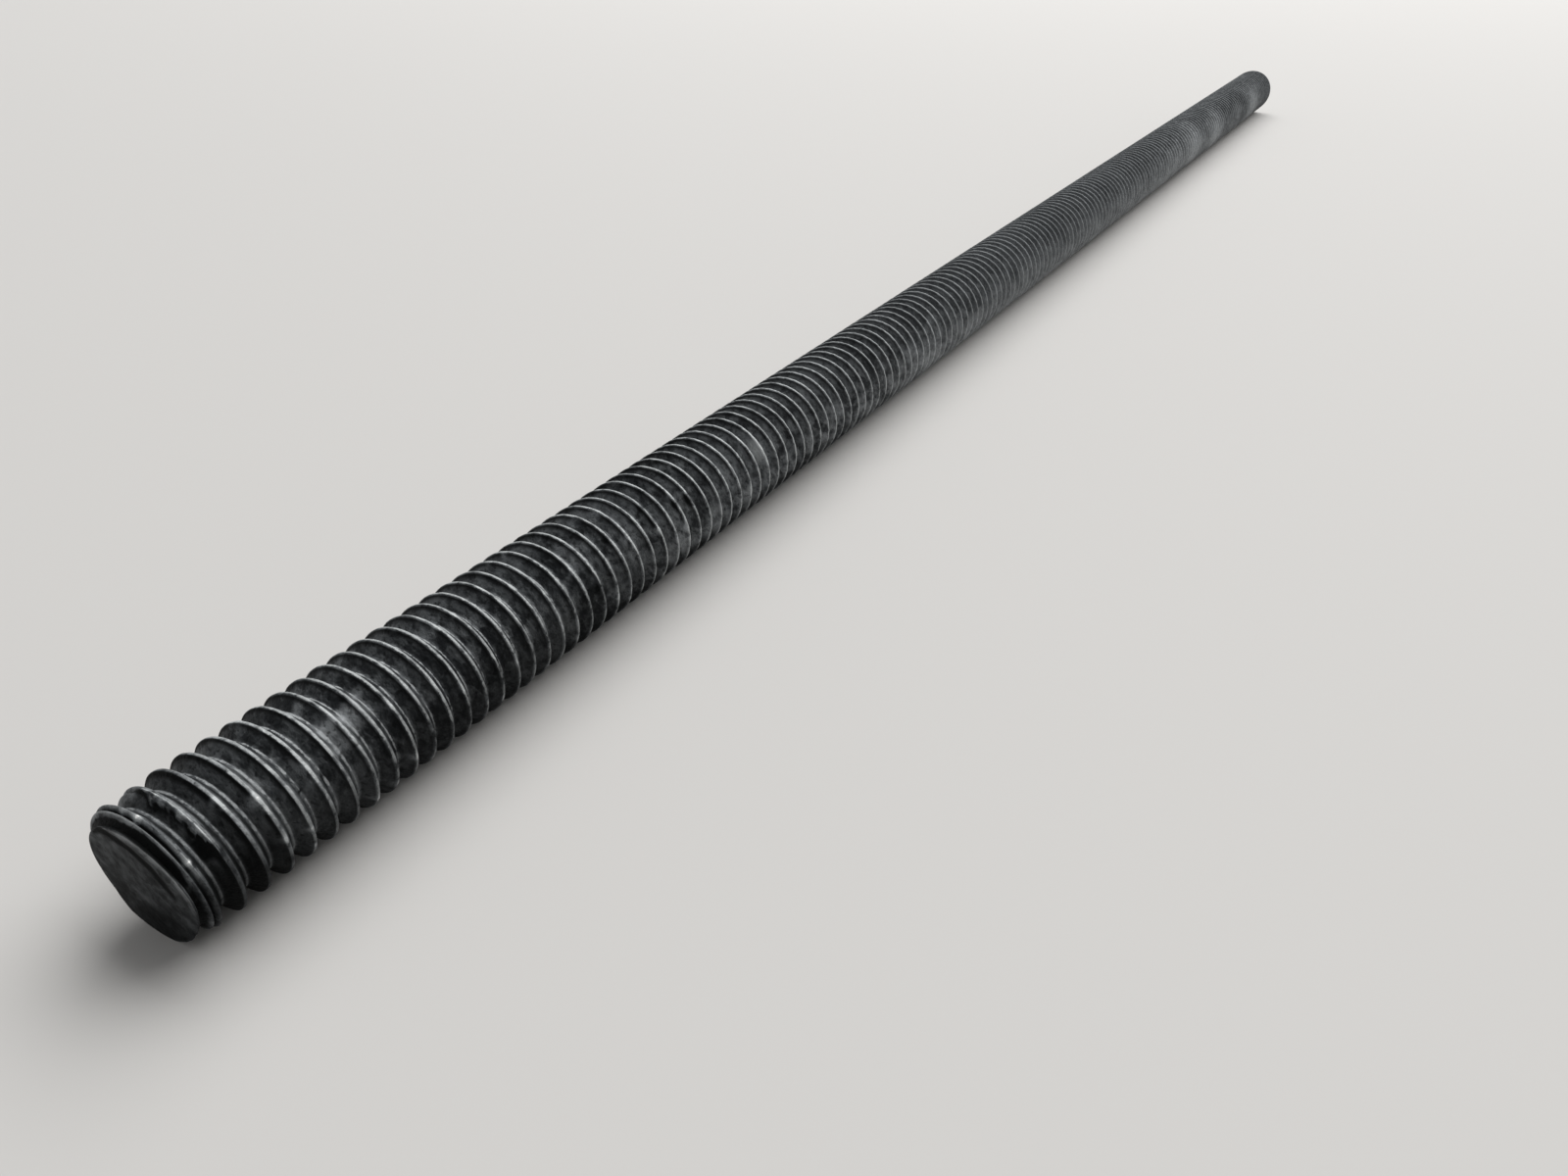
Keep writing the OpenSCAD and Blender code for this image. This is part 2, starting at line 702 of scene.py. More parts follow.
@dataclass(frozen=True)
class CutFace:
    """The face that a saw left on the cut end, a little out of square.

    A burred rim stands out over the thread's root. Over part of the way round, the face's edge is
    worn back and worn bright, with a painted highlight along its ridge, and a sunk groove darkened
    with painted shade parts it from the flat.
    """

    set_back: float = 0.267 * MM
    lean: float = 0.0708
    lean_angle: float = math.radians(4.4)
    # Angle in degrees, and the burred rim's radius in millimetres.
    burr_rim: Rows = (
        (40, 3.6),
        (60, 3.84),
        (90, 3.86),
        (120, 3.93),
        (135, 4.05),
        (150, 4.26),
        (165, 4.42),
        (185, 4.5),
        (215, 4.2),
        (240, 4.35),
        (262, 4.68),
        (304, 4.68),
        (316, 4.3),
        (326, 3.9),
        (335, 3.6),
    )
    burr_fall: float = 2.2
    burr_depth: float = 0.06 * MM
    # Depth behind the face, over which the rim's finish changes from the face's to the thread's.
    rim: Span = Span(0.02 * MM, 0.14 * MM, start=1.0, stop=0.0)
    # Angle in degrees, the bright edge's radius in millimetres, and how far it is worn back and painted
    # bright.
    edge_line: Rows = (
        (50, 3.65, 0.0),
        (75, 3.65, 0.9),
        (105, 3.70, 1.0),
        (120, 3.74, 1.0),
        (135, 3.84, 1.0),
        (150, 4.05, 1.0),
        (165, 4.21, 1.0),
        (180, 4.30, 0.9),
        (200, 4.30, 0.0),
    )
    edge_half: float = 0.27 * MM
    edge_slope: float = 0.3
    # Angle in degrees, the groove's radius in millimetres, and how far it is sunk and darkened with painted
    # shade.
    groove_line: Rows = (
        (40, 3.75, 0.0),
        (60, 3.72, 0.8),
        (75, 3.26, 1.0),
        (90, 2.92, 1.0),
        (120, 2.60, 1.0),
        (150, 2.48, 0.95),
        (165, 2.55, 0.8),
        (185, 2.90, 0.0),
    )
    groove_half: float = 0.22 * MM
    groove_depth: float = 0.08 * MM
    groove_wobble: float = 0.10 * MM
    wobble_size: float = 0.8 * MM
    pit_depth: float = 0.01 * MM
    pit_size: float = 0.45 * MM
    flat_wear: float = -0.68
    # How strong each mottling of the flat is, and about how far across its spots are.
    mottling: Rows = ((0.14, 1.4 * MM), (0.10, 0.6 * MM))
    # The ridge is painted bright, partly worn and partly a painted highlight, and the groove dark with
    # painted shade.
    ridge_rub_and_highlight: float = 0.30
    sill_wear: float = -0.66
    groove_shade: float = -1.7
    # The flat is darkened towards its lower rim with painted shade.
    shaded_side: float = math.radians(275)
    shaded_facing: Span = Span(0.6, 1.0)
    shaded_reach: Span = Span(1.2 * MM, 3.0 * MM, start=0.0, stop=0.20)
    rings: int = 26

    def normal(self) -> Vector:
        """Works out the way that the face looks, away from the rod.

        Returns:
            The face's normal.
        """
        across = self.lean * math.cos(self.lean_angle)
        up = self.lean * math.sin(self.lean_angle)
        return Vector((-1.0, -across, -up)).normalized()

    def behind(self, from_cut: np.ndarray, angle: np.ndarray, radius: np.ndarray) -> np.ndarray:
        """How far each point lies behind the face."""
        return from_cut - self.set_back + self.lean * radius * np.cos(angle - self.lean_angle)

    def burr(self, angle: np.ndarray, depth: np.ndarray) -> np.ndarray:
        """The radius that the burred rim has at each angle and depth behind the face."""
        (rim,) = trace(self.burr_rim, np.degrees(angle) % 360)
        return MM * rim - self.burr_fall * np.maximum(depth - self.burr_depth, 0.0)

    def work(self, angle: np.ndarray, radius: np.ndarray) -> tuple[np.ndarray, np.ndarray]:
        """Works out how the face is worn at each place on it.

        Args:
            angle: angle of each place, about X from +Y.
            radius: radius of each place.

        Returns:
            How far the face is set back there, and how bright it is worn or painted, with painted shade
            below zero.
        """
        turned = np.degrees(angle) % 360
        across = radius * np.cos(angle)
        up = radius * np.sin(angle)
        edge_radius, edge = trace(self.edge_line, turned)
        groove_radius, groove = trace(self.groove_line, turned)
        wobble = self.groove_wobble * sway(across, up, np.zeros_like(up), self.wobble_size)
        from_edge = radius - MM * edge_radius
        from_groove = radius + wobble - MM * groove_radius
        groove = groove * np.exp(-((from_groove / self.groove_half) ** 2))
        pits = self.pit_depth * sway(across, up, np.full_like(up, MM), self.pit_size)
        depth = self.groove_depth * groove + self.edge_slope * edge * np.maximum(from_edge, 0.0)

        flat = np.full_like(radius, self.flat_wear)
        for amount, size in self.mottling:
            flat = flat + amount * sway(across, up, np.full_like(up, size), size)
        # Painted shade darkens the flat towards its lower rim.
        painted_shade = self.shaded_facing.ease(0.5 + 0.5 * np.cos(angle - self.shaded_side))
        flat = flat - painted_shade * self.shaded_reach.ease(radius)
        ridge = np.exp(-((from_edge / self.edge_half) ** 2))
        worn = self.sill_wear + (self.ridge_rub_and_highlight - self.sill_wear) * ridge
        worn = flat + (worn - flat) * edge * (from_groove > 0.0)
        return depth + pits, worn + (self.groove_shade - worn) * groove


@dataclass(frozen=True)
class Weathering:
    """How handling, soiling and weather have marked the rod, and where light and shade are painted onto it.

    Spans along the rod are from its cut end. Spans of facing go from 0 behind a side to 1 in front.
    """

    fading: Span = Span(45 * MM, 135 * MM)
    # Painted shade: the underside of the near turns, a narrower band of the underside further along, and
    # all round close to the cut end.
    shaded_side: float = math.radians(-105)
    shaded_facing: Span = Span(0.25, 0.7)
    shaded_reach: Span = Span(25 * MM, 65 * MM, start=0.6, stop=0.0)
    under_facing: Span = Span(0.68, 0.9)
    under_reach: Span = Span(70 * MM, 115 * MM, start=0.65, stop=0.0)
    end_reach: Span = Span(4 * MM, 8 * MM, start=0.24, stop=0.0)
    # Place across the thread, and how much of the painted shade falls there.
    shade_across: Rows = ((0.06, 0.65), (0.14, 1.0), (0.40, 1.0), (0.47, 0.65))
    crest_share: float = 0.1
    crest_grime: float = 0.3
    crest_patch: float = 2.2 * MM
    faded_flanks: float = 0.45
    shaded_flanks: float = 0.7
    # Painted light: the side facing -Y and down is painted paler, from 20 mm along, turning towards -Y far
    # along.
    lit_side: float = math.radians(-145)
    lit_side_turn: Span = Span(150 * MM, 230 * MM, start=0.0, stop=math.radians(-35))
    lit_reach: Span = Span(20 * MM, 100 * MM)
    lit_most: float = 0.6
    lit_least: float = -0.05
    cloud_reach: Span = Span(190 * MM, 250 * MM)
    cloud_size: float = 13 * MM
    cloud_depth: float = 0.3
    cloud_level: float = -0.15
    # The painted highlights in the roots are dimmed on the shaded side.
    root_share: float = 0.25
    root_facing: Span = Span(0.4, 0.8)
    root_loss: float = 0.75
    far_loss: float = 0.75
    end_shine: Span = Span(3 * MM, 8 * MM, start=0.6, stop=1.0)

    def faded(self, skin: Skin) -> np.ndarray:
        """How far the marks of handling have faded, from 0 near the cut end to 1 far from it."""
        return self.fading.ease(skin.from_cut)

    def facing(self, skin: Skin, side: float | np.ndarray) -> np.ndarray:
        """How far each point faces a side, from 0 behind to 1 in front."""
        return 0.5 + 0.5 * np.cos(skin.angle - side)

    def contrast(self, skin: Skin) -> np.ndarray:
        """How strongly the painted shade shows on the flanks: less far from the cut end and on the shaded
        side.
        """
        side = self.shaded_facing.ease(self.facing(skin, self.shaded_side))
        return (1.0 - self.faded_flanks * self.faded(skin)) * (1.0 - self.shaded_flanks * side)

    def painted_shade_and_dirt(self, skin: Skin, crest_radius: float) -> np.ndarray:
        """Works out how far each point is darkened: painted shade on the underside of the near turns and at
        the cut end, and dirty patches on the crests.

        Args:
            skin: the thread's surface.
            crest_radius: the radius that the patches are drawn at.

        Returns:
            What to take from each point's wear_and_painted_light.
        """
        facing = self.facing(skin, self.shaded_side)
        side = self.shaded_facing.ease(facing) * self.shaded_reach.ease(skin.from_cut)
        under = self.under_facing.ease(facing) * self.under_reach.ease(skin.from_cut)
        side = np.maximum(side, under) + self.end_reach.ease(skin.from_cut)
        (held,) = trace(self.shade_across, skin.share)
        patchy = 0.5 + 0.5 * skin.ripple(crest_radius, self.crest_patch)
        crests = (skin.share < self.crest_share) * self.crest_grime * patchy
        return side * held + crests * (1.0 - self.faded(skin))

    def bloom_and_painted_light(self, skin: Skin, crest_radius: float) -> np.ndarray:
        """Works out the clouds of bloom far from the cut end, and the painted light that makes one lower
        side paler away from the cut end.

        Args:
            skin: the thread's surface.
            crest_radius: the radius that the clouds of bloom are drawn at.

        Returns:
            The bloom of each point, with its painted light.
        """
        clouds = self.cloud_depth * skin.ripple(crest_radius, self.cloud_size) + self.cloud_level
        pale = self.facing(skin, self.lit_side + self.lit_side_turn.ease(skin.from_cut))
        bloom = self.lit_reach.ease(skin.from_cut) * (self.lit_most * pale**2 + self.lit_least)
        return bloom + self.cloud_reach.ease(skin.from_cut) * clouds

    def shine(self, skin: Skin) -> np.ndarray:
        """Works out how bright the crest lines, partly worn and partly painted highlight, and the painted
        highlights in the roots are: less at the cut end and far from it.

        Args:
            skin: the thread's surface.

        Returns:
            The brightness of each point, from 0 to 1, with the roots duller on the shaded side.
        """
        side = self.root_facing.ease(self.facing(skin, self.shaded_side)) * (skin.share > self.root_share)
        near = self.end_shine.ease(skin.from_cut)
        return (1.0 - self.root_loss * side) * (1.0 - self.far_loss * self.faded(skin)) * near


@dataclass
class ThreadedRod:
    """The rod with its rolled thread, in place of its plain solid.

    A turn number is counted along the thread, whole on a crest and half in a root. The mesh is made
    finer between pairs of places along the rod, in pitches from the cut end or, for fine_far, from
    the other end: fine_round only round the rod, and the others both ways.
    """

    low: Vector
    high: Vector
    form: ThreadForm = field(default_factory=ThreadForm)
    lap: CrestLap = field(default_factory=CrestLap)
    cut: CutFace = field(default_factory=CutFace)
    weather: Weathering = field(default_factory=Weathering)
    scatter: Scatter = field(default_factory=Scatter)
    rows: int = 10
    row_parts: int = 4
    steps: int = 32
    spare_turns: int = 3
    fine_round: tuple[float, float] = (-1.5, 32.5)
    fine_near: tuple[float, float] = (-1.5, 7.5)
    fine_far: tuple[float, float] = (-3.5, 1.5)
    # Place across the thread, and how far its roughness sinks there in millimetres.
    ragged: Rows = ((0.0, 0.035), (0.12, 0.015), (0.5, 0.015))
    ragged_size: float = 1.3 * MM
    chamfer_radius: float = 3.63 * MM
    chamfer_rings: int = 4
    crease: float = math.radians(55)
    weld: float = 0.01 * MM
    slack: float = 0.001 * MM
    clearance: float = 0.002 * MM
    name: str = "threaded_rod_galvanised"

    @property
    def outer_radius(self) -> float:
        """The radius that nothing may pass."""
        return self.high.z - self.clearance

    @property
    def length(self) -> float:
        """The rod's length in pitches."""
        return (self.high.x - self.low.x) / self.form.pitch

    @property
    def turns(self) -> int:
        """How many turns are wound, with a few to cut away at the ends."""
        return math.ceil(self.length) + 2 * self.spare_turns

    def build(self, material: bpy.types.Material) -> bpy.types.Object:
        """Winds the thread, forms it, trims both ends and dresses the rod.

        Args:
            material: the rod's finish.

        Returns:
            The finished piece, riding on the rod's body.
        """
        rod = self.draw_profile()
        self.wind(rod)
        self.refine(rod)
        self.shape_thread(rod)
        self.cut_end(rod)
        self.chamfered_end(rod)
        bpy.ops.object.shade_smooth_by_angle(angle=self.crease)
        rod.data.materials.clear()
        rod.data.materials.append(material)
        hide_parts("threaded_rod")
        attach(rod, "root")
        return rod

    def draw_profile(self) -> bpy.types.Object:
        """Draws one pitch of the section as a straight chain of edges, ready to be wound.

        Returns:
            The chain, one row of points over a pitch, on the +Y side.
        """
        deselect_all()
        pitch = self.form.pitch
        bpy.ops.mesh.primitive_grid_add(x_subdivisions=self.rows, y_subdivisions=1, size=pitch)
        chain = bpy.context.object
        chain.name = self.name
        chain.data.name = self.name
        bpy.ops.object.mode_set(mode="EDIT")
        bpy.ops.mesh.select_mode(type="VERT")
        bpy.ops.mesh.select_all(action="DESELECT")
        bpy.ops.object.mode_set(mode="OBJECT")
        for vertex in chain.data.vertices:
            vertex.select = vertex.co.y < 0
        bpy.ops.object.mode_set(mode="EDIT")
        bpy.ops.mesh.delete(type="VERT")
        bpy.ops.mesh.select_all(action="SELECT")
        first_root = self.low.x - (self.spare_turns + self.form.start_turn) * pitch
        lift = self.form.crest_radius - pitch / 2
        bpy.ops.transform.translate(value=(first_root, lift, 0))
        bpy.ops.object.mode_set(mode="OBJECT")
        return chain

    def wind(self, rod: bpy.types.Object) -> None:
        """Winds the chain along X into the whole thread and joins each turn to the next.

        Args:
            rod: the chain, which becomes the wound rod.
        """
        winding = rod.modifiers.new("winding", "SCREW")
        winding.axis = "X"
        winding.angle = math.tau
        winding.screw_offset = self.form.pitch
        winding.iterations = self.turns
        winding.steps = self.steps
        winding.render_steps = self.steps
        winding.use_merge_vertices = False
        bpy.ops.object.modifier_apply(modifier=winding.name)
        bpy.ops.object.mode_set(mode="EDIT")
        bpy.ops.mesh.select_all(action="SELECT")
        bpy.ops.mesh.remove_doubles(threshold=self.weld)
        bpy.ops.object.mode_set(mode="OBJECT")

    def measure(self, rod: bpy.types.Object) -> tuple[np.ndarray, np.ndarray, np.ndarray, np.ndarray]:
        """Reads where each point of the rod lies on the thread.

        Args:
            rod: the rod, wound.

        Returns:
            Place along X, angle about X from +Y, radius and turn number of each point.
        """
        points = np.empty(len(rod.data.vertices) * 3)
        rod.data.vertices.foreach_get("co", points)
        along, across, up = points.reshape(-1, 3).T
        angle = np.arctan2(up, across)
        turn = (along - self.low.x) / self.form.pitch - angle / math.tau + self.form.start_turn
        return along, angle, np.hypot(across, up), turn

    def place(
        self, rod: bpy.types.Object, along: np.ndarray, angle: np.ndarray, radius: np.ndarray
    ) -> None:
        """Moves each point of the rod.

        Args:
            rod: the rod, wound.
            along: each point's place along X.
            angle: each point's angle about X from +Y.
            radius: each point's radius.
        """
        points = np.stack([along, radius * np.cos(angle), radius * np.sin(angle)], axis=1)
        rod.data.vertices.foreach_set("co", points.ravel())
        rod.data.update()

    def write(self, rod: bpy.types.Object, name: str, values: np.ndarray) -> None:
        """Writes one value for each point, for the finish to read."""
        attribute = rod.data.attributes.get(name) or rod.data.attributes.new(name, "FLOAT", "POINT")
        attribute.data.foreach_set("value", values.astype(np.float32))

    def refine(self, rod: bpy.types.Object) -> None:
        """Gives the turns nearest the ends a finer mesh, for their edges and blemishes.

        Args:
            rod: the rod, wound.
        """
        far = tuple(self.length + place for place in self.fine_far)
        for (first, last), both_ways in ((self.fine_round, False), (self.fine_near, True), (far, True)):
            along, _, _, turn = self.measure(rod)
            row = np.round(turn * self.rows * self.row_parts)
            place = (along - self.low.x) / self.form.pitch
            ends = np.empty(len(rod.data.edges) * 2, dtype=np.int64)
            rod.data.edges.foreach_get("vertices", ends)
            start, stop = ends.reshape(-1, 2).T
            chosen = np.minimum(place[start], place[stop]) > first
            chosen &= np.maximum(place[start], place[stop]) < last
            # An edge that runs round the rod joins two points of one row, counted in parts of a row.
            if not both_ways:
                chosen &= np.mod(row[start] - row[stop], self.row_parts * self.rows) == 0
            bpy.ops.object.mode_set(mode="EDIT")
            bpy.ops.mesh.select_mode(type="EDGE")
            bpy.ops.mesh.select_all(action="DESELECT")
            bpy.ops.object.mode_set(mode="OBJECT")
            rod.data.edges.foreach_set("select", chosen)
            bpy.ops.object.mode_set(mode="EDIT")
            bpy.ops.mesh.subdivide(number_cuts=1, ngon=False)
            bpy.ops.object.mode_set(mode="OBJECT")
            LOG.info("refined %.1f to %.1f: %d faces", first, last, len(rod.data.polygons))

    def shape_thread(self, rod: bpy.types.Object) -> None:
        """Moves each point of the wound chain to its place on the rolled thread, and wears it.

        Args:
            rod: the rod, wound.
        """
        crest_radius = self.form.crest_radius
        skin = self.roll(rod)
        skin.wear_and_painted_light = skin.wear_and_painted_light * self.weather.contrast(skin)
        self.lap.press(skin, crest_radius)
        self.lap.fill(skin)
        self.lap.smear(skin, crest_radius)
        skin.wear_and_painted_light = skin.wear_and_painted_light - self.weather.painted_shade_and_dirt(skin, crest_radius)
        (ragged,) = trace(self.ragged, skin.share)
        sunk = 0.5 + 0.5 * skin.ripple(crest_radius, self.ragged_size)
        skin.radius = skin.radius - MM * ragged * sunk
        for blemish in self.blemishes() + self.scatter.blemishes():
            blemish.mark(skin, self.form)
        skin.bloom = skin.bloom + self.weather.bloom_and_painted_light(skin, crest_radius)
        self.lay(rod, skin)

    def roll(self, rod: bpy.types.Object) -> Skin:
        """Rolls the thread's section into the wound chain, with its rows where the section bends.

        Args:
            rod: the rod, wound.

        Returns:
            The thread's surface, with the painted shade in its flanks.
        """
        along, angle, _, turn = self.measure(rod)
        offset = turn - np.round(turn)
        seat = (along - self.low.x) / self.form.pitch - offset
        placed = np.sign(offset) * self.form.spread(np.abs(offset))
        opening = self.lap.opening(seat) * (offset < 0)
        placed = placed + (self.lap.spread(offset) - placed) * opening
        along = along + (placed - offset) * self.form.pitch
        (flank_shade,) = trace(self.form.flank_shade, placed)
        return Skin(
            along=along,
            from_cut=along - self.low.x,
            angle=angle,
            turn=turn,
            seat=seat,
            placed=placed,
            radius=self.form.radius(np.abs(placed)),
            wear_and_painted_light=flank_shade,
            bloom=np.zeros_like(along),
        )

    def lay(self, rod: bpy.types.Object, skin: Skin) -> None:
        """Moves the rod's points to the finished surface, and writes what the finish reads.

        Args:
            rod: the rod, wound.
            skin: the thread's surface, which is burred here where it meets the cut face.
        """
        depth = self.cut.behind(skin.from_cut, skin.angle, skin.radius)
        radius = np.maximum(skin.radius, self.cut.burr(skin.angle, depth))
        self.place(rod, skin.along, skin.angle, np.minimum(radius, self.outer_radius))
        rim = self.cut.rim.ease(depth)
        rubbed_and_highlight = self.form.highlight_share(skin.placed)
        self.write(rod, "thread_share", rubbed_and_highlight + (PLAIN_SHARE - rubbed_and_highlight) * rim)
        self.write(rod, "wear_and_painted_light", skin.wear_and_painted_light + (self.cut.flat_wear - skin.wear_and_painted_light) * rim)
        # The bloom attribute also carries the painted light on one lower side.
        self.write(rod, "bloom", skin.bloom)
        self.write(rod, "shine", self.weather.shine(skin))
        self.write(rod, "faded", self.weather.faded(skin))

    def blemishes(self) -> list[Blemish]:
        """Lists the nodules, nicks, bright spots, patches of bloom and patches of painted shade that stand
        out along the thread.

        Returns:
            The blemishes.
        """
        return [
            Blemish(turn=1.04, angle=99, size=0.20 * MM, height=0.03 * MM, wear_and_painted_light=2.4),
            Blemish(turn=1.06, angle=146, size=0.18 * MM, height=0.03 * MM, wear_and_painted_light=2.2),
            Blemish(turn=0.97, angle=84, size=0.20 * MM, height=0.02 * MM, wear_and_painted_light=0.8),
            # Painted shade on the flank before the second crest, beside its smear.
            Blemish(turn=1.71, angle=151, size=0.28 * MM, wear_and_painted_light=-0.50),
            Blemish(turn=1.73, angle=145, size=0.30 * MM, wear_and_painted_light=-0.50),
            Blemish(turn=1.75, angle=138, size=0.25 * MM, wear_and_painted_light=-0.45),
            Blemish(turn=1.78, angle=131, size=0.20 * MM, wear_and_painted_light=-0.40),
            Blemish(turn=1.79, angle=95, size=0.18 * MM, wear_and_painted_light=-0.9),
            Blemish(turn=1.93, angle=89, size=0.10 * MM, height=-0.05 * MM, wear_and_painted_light=-1.4),
            Blemish(turn=3.0, angle=122, size=0.24 * MM, height=0.02 * MM, wear_and_painted_light=1.2),
            Blemish(turn=3.0, angle=129, size=0.20 * MM, height=0.02 * MM, wear_and_painted_light=1.2),
            Blemish(turn=4.01, angle=138, size=0.34 * MM, height=0.03 * MM, wear_and_painted_light=1.7),
            Blemish(turn=4.01, angle=147, size=0.22 * MM, wear_and_painted_light=1.0),
            Blemish(turn=6.0, angle=140, size=0.34 * MM, wear_and_painted_light=1.1),
            Blemish(turn=8.0, angle=118, size=0.45 * MM, wear_and_painted_light=0.7),
            Blemish(turn=10.0, angle=140, size=0.30 * MM, wear_and_painted_light=1.0),
            Blemish(turn=21.9, angle=155, size=0.34 * MM, height=0.08 * MM, wear_and_painted_light=0.7),
            Blemish(turn=21.95, angle=162, size=0.25 * MM, height=-0.06 * MM, wear_and_painted_light=-0.5),
            Blemish(turn=23.95, angle=130, size=0.28 * MM, height=-0.05 * MM, wear_and_painted_light=-0.4),
            Blemish(turn=23.8, angle=93, size=0.30 * MM, height=0.10 * MM, wear_and_painted_light=0.7),
            Blemish(turn=24.85, angle=100, size=0.30 * MM, height=0.10 * MM, wear_and_painted_light=0.8),
            Blemish(turn=26.97, angle=125, size=0.30 * MM, height=-0.05 * MM, wear_and_painted_light=-0.4),
            Blemish(turn=26.97, angle=138, size=0.30 * MM, height=-0.05 * MM, wear_and_painted_light=-0.4),
            Blemish(turn=26.95, angle=153, size=0.22 * MM, height=0.08 * MM, wear_and_painted_light=1.8),
            Blemish(turn=28.97, angle=142, size=0.30 * MM, height=-0.04 * MM, wear_and_painted_light=-0.6),
            Blemish(turn=30.0, angle=144, size=0.55 * MM, wear_and_painted_light=-0.5),
            Blemish(turn=37.0, angle=132, size=0.6 * MM, wear_and_painted_light=1.4),
            Blemish(turn=37.0, angle=150, size=0.8 * MM, wear_and_painted_light=1.6),
            Blemish(turn=5.48, angle=155, size=0.11 * MM, wear_and_painted_light=-1.0),
            Blemish(turn=6.47, angle=156, size=0.12 * MM, wear_and_painted_light=-1.1),
            Blemish(turn=7.48, angle=150, size=0.11 * MM, wear_and_painted_light=-1.0),
            Blemish(turn=8.48, angle=147, size=0.11 * MM, wear_and_painted_light=-1.0),
            Blemish(turn=6.28, angle=80, size=0.55 * MM, bloom=1.0),
            Blemish(turn=7.62, angle=90, size=0.60 * MM, bloom=1.0),
            Blemish(turn=7.64, angle=126, size=0.50 * MM, bloom=1.7),
            Blemish(turn=8.70, angle=124, size=0.65 * MM, bloom=1.4),
            Blemish(turn=8.62, angle=138, size=0.60 * MM, bloom=0.8),
            Blemish(turn=7.52, angle=146, size=0.70 * MM, bloom=0.9),
            Blemish(turn=6.35, angle=150, size=0.60 * MM, bloom=0.6),
            Blemish(turn=4.45, angle=128, size=0.60 * MM, bloom=0.6),
            Blemish(turn=5.58, angle=115, size=0.60 * MM, bloom=0.6),
            Blemish(turn=9.55, angle=112, size=0.70 * MM, bloom=0.7),
            Blemish(turn=14.6, angle=120, size=0.9 * MM, bloom=0.3),
            Blemish(turn=16.6, angle=135, size=1.0 * MM, bloom=0.3),
            Blemish(turn=19.5, angle=135, size=1.4 * MM, bloom=0.25),
            Blemish(turn=21.5, angle=128, size=1.4 * MM, bloom=0.3),
            Blemish(turn=24.5, angle=140, size=1.4 * MM, bloom=0.4),
            Blemish(turn=26.5, angle=142, size=1.2 * MM, bloom=0.3),
            Blemish(turn=30.5, angle=140, size=1.3 * MM, bloom=0.25),
            Blemish(turn=33.5, angle=142, size=1.4 * MM, bloom=0.2),
            Blemish(turn=20.4, angle=188, size=1.6 * MM, bloom=0.35),
            Blemish(turn=28.4, angle=180, size=2.0 * MM, bloom=0.35),
            Blemish(turn=130.0, angle=160, size=7.0 * MM, bloom=0.15),
            Blemish(turn=139.0, angle=168, size=6.0 * MM, bloom=0.40),
            Blemish(turn=149.0, angle=165, size=7.0 * MM, bloom=0.45),
            Blemish(turn=166.0, angle=160, size=4.0 * MM, bloom=-0.35),
            Blemish(turn=173.0, angle=165, size=4.5 * MM, bloom=0.25),
        ]

    def saw(self, rod: bpy.types.Object, place: Vector, normal: Vector, rings: int) -> int:
        """Cuts away all beyond a plane, and closes the cut with rings of faces about the rod's middle.

        Args:
            rod: the rod.
            place: where the plane crosses the rod's middle.
            normal: the way that the cut face looks.
            rings: how many rings to close it with.

        Returns:
            How many points the rod had before the cut was closed. The points after them are the face's.
        """
        bpy.ops.object.mode_set(mode="EDIT")
        bpy.ops.mesh.select_mode(type="VERT")
        bpy.ops.mesh.select_all(action="SELECT")
        bpy.ops.mesh.bisect(plane_co=place, plane_no=normal, clear_outer=True, threshold=self.slack)
        bpy.ops.object.mode_set(mode="OBJECT")
        before = len(rod.data.vertices)
        bpy.ops.object.mode_set(mode="EDIT")
        for ring in range(rings, 1, -1):
            size = 1 - 1 / ring
            bpy.ops.mesh.extrude_region()
            bpy.ops.transform.resize(value=(size, size, size), center_override=place)
        bpy.ops.mesh.extrude_region()
        bpy.ops.mesh.merge(type="CENTER")
        bpy.ops.mesh.select_all(action="SELECT")
        bpy.ops.mesh.normals_make_consistent(inside=False)
        bpy.ops.object.mode_set(mode="OBJECT")
        return before

    def cut_end(self, rod: bpy.types.Object) -> None:
        """Saws the cut end off, and works its worn bevel and groove.

        Args:
            rod: the rod, with its thread.
        """
        centre = Vector((self.low.x + self.cut.set_back, 0, 0))
        before = self.saw(rod, centre, self.cut.normal(), self.cut.rings)
        along, angle, radius, _ = self.measure(rod)
        depth, wear_and_painted_light = self.cut.work(angle[before:], radius[before:])
        along[before:] = np.maximum(along[before:] + depth, self.low.x)
        self.place(rod, along, angle, radius)
        self.mark_face(rod, before, wear_and_painted_light)

    def chamfered_end(self, rod: bpy.types.Object) -> None:
        """Turns the chamfer on the other end, and closes it with a flat face.

        Args:
            rod: the rod, with its thread.
        """
        along, angle, radius, _ = self.measure(rod)
        cone = self.chamfer_radius + np.maximum(self.high.x - along, 0.0)
        self.place(rod, along, angle, np.minimum(radius, cone))
        before = self.saw(rod, Vector((self.high.x, 0, 0)), Vector((1, 0, 0)), self.chamfer_rings)
        self.mark_face(rod, before, np.zeros(len(rod.data.vertices) - before))
        along, angle, radius, _ = self.measure(rod)
        self.place(rod, np.clip(along, self.low.x, self.high.x), angle, radius)

    def mark_face(self, rod: bpy.types.Object, before: int, wear_and_painted_light: np.ndarray) -> None:
        """Marks a face's points as plain zinc, neither crest nor root, with their own worn brightness and
        painted light and shade.

        Args:
            rod: the rod.
            before: how many points come before the face's.
            wear_and_painted_light: how bright each of the face's points is worn or painted, or less than
                zero for dark or painted shade.
        """
        marks = {"thread_share": PLAIN_SHARE, "wear_and_painted_light": wear_and_painted_light, "bloom": 0.0, "shine": 0.0, "faded": 0.0}
        for name, values in marks.items():
            held = np.empty(len(rod.data.vertices), dtype=np.float32)
            rod.data.attributes[name].data.foreach_get("value", held)
            held[before:] = values
            self.write(rod, name, held)


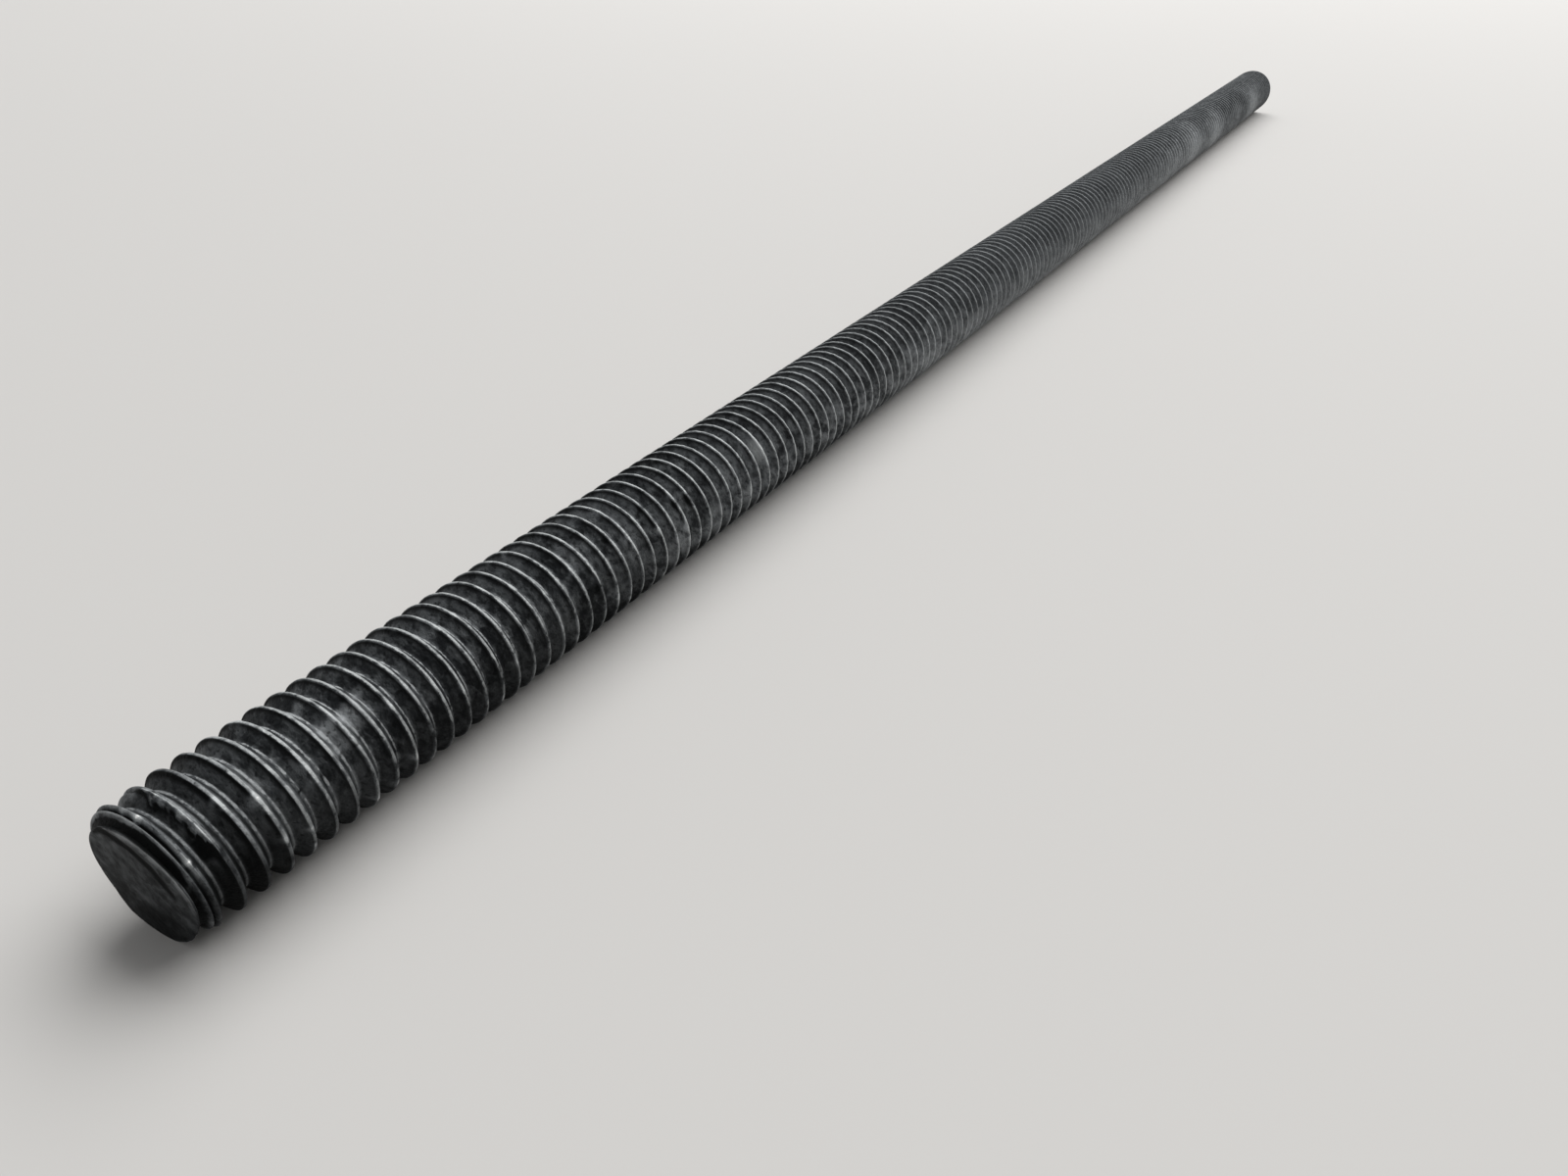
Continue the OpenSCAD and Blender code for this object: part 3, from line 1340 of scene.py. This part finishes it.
@dataclass
class Studio:
    """The pale ground, one wide soft lamp in a dim room, and the camera.

    The camera and all that reflects see the room paler than the light that it gives.
    """

    rod_low: Vector
    ground_size: float = 4.0
    lamp_size: tuple[float, float] = (1.8, 3.2)
    lamp_power: float = 67.0
    lamp_place: tuple[float, float, float] = (1.2, -0.1, 1.7)
    lamp_tilt: float = math.radians(35)
    room: str = "#e1e2e3"
    room_light: float = 0.34
    room_seen: float = 0.9
    lens: float = 24.87
    sensor: float = 36.0
    nearest: float = 5 * MM
    farthest: float = 50.0
    camera_offset: tuple[float, float, float] = (-16.31 * MM, -51.14 * MM, 46.32 * MM)
    camera_pitch: float = math.radians(56.35)
    camera_heading: float = math.radians(-59.02)

    def build(self, ground: bpy.types.Material) -> None:
        """Lays the ground and sets the lights and the camera.

        Args:
            ground: the ground's finish.
        """
        self.lay_ground(ground)
        self.hang_lamp()
        self.fill_room()
        self.set_camera()
        bpy.context.scene.view_settings.view_transform = "Standard"

    def lay_ground(self, ground: bpy.types.Material) -> None:
        """Lays a wide flat board under the rod.

        Args:
            ground: the ground's finish.
        """
        deselect_all()
        bpy.ops.mesh.primitive_plane_add(size=self.ground_size, location=(0, 0, self.rod_low.z))
        board = bpy.context.object
        board.name = "ground"
        board.data.materials.append(ground)

    def hang_lamp(self) -> None:
        """Hangs one wide soft lamp beyond the rod's far end, tilted towards it."""
        lamp = bpy.data.lights.new("window", "AREA")
        lamp.shape = "RECTANGLE"
        lamp.size, lamp.size_y = self.lamp_size
        lamp.energy = self.lamp_power
        hung = bpy.data.objects.new("window", lamp)
        hung.location = self.lamp_place
        hung.rotation_euler = (0, self.lamp_tilt, 0)
        bpy.context.scene.collection.objects.link(hung)

    def fill_room(self) -> None:
        """Fills the room with a dim even light, and shows it paler to the camera and in reflections."""
        world = bpy.data.worlds.new("room")
        world.use_nodes = True
        tree = world.node_tree
        rays = add_node(tree, "LightPath").outputs
        seen = rays["Is Camera Ray"]
        for kind in ("Is Glossy Ray", "Is Transmission Ray"):
            seen = add_node(tree, "Math", {0: seen, 1: rays[kind]}, operation="MAXIMUM").outputs[0]
        ends = {"Value": seen, "To Min": self.room_light, "To Max": self.room_seen}
        strength = add_node(tree, "MapRange", ends).outputs[0]
        background = tree.nodes["Background"]
        background.inputs["Color"].default_value = linear(self.room)
        tree.links.new(strength, background.inputs["Strength"])
        bpy.context.scene.world = world

    def set_camera(self) -> None:
        """Stands a short lens close to the cut end, looking down along the rod."""
        data = bpy.data.cameras.new("camera")
        data.lens = self.lens
        data.sensor_width = self.sensor
        data.clip_start = self.nearest
        data.clip_end = self.farthest
        camera = bpy.data.objects.new("camera", data)
        camera.location = Vector((self.rod_low.x, 0, 0)) + Vector(self.camera_offset)
        camera.rotation_euler = (self.camera_pitch, 0, self.camera_heading)
        bpy.context.scene.collection.objects.link(camera)
        bpy.context.scene.camera = camera


def main() -> None:
    """Builds the setting and the rod, and reports each piece."""
    logging.basicConfig(level=logging.INFO)
    low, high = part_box("threaded_rod")
    Studio(low).build(PaleBoard().make())
    rod = ThreadedRod(low, high).build(GalvanisedSteel().make())
    triangles = sum(len(face.vertices) - 2 for face in rod.data.polygons)
    LOG.info("%s: %d triangles", rod.name, triangles)


if __name__ == "__main__":
    main()
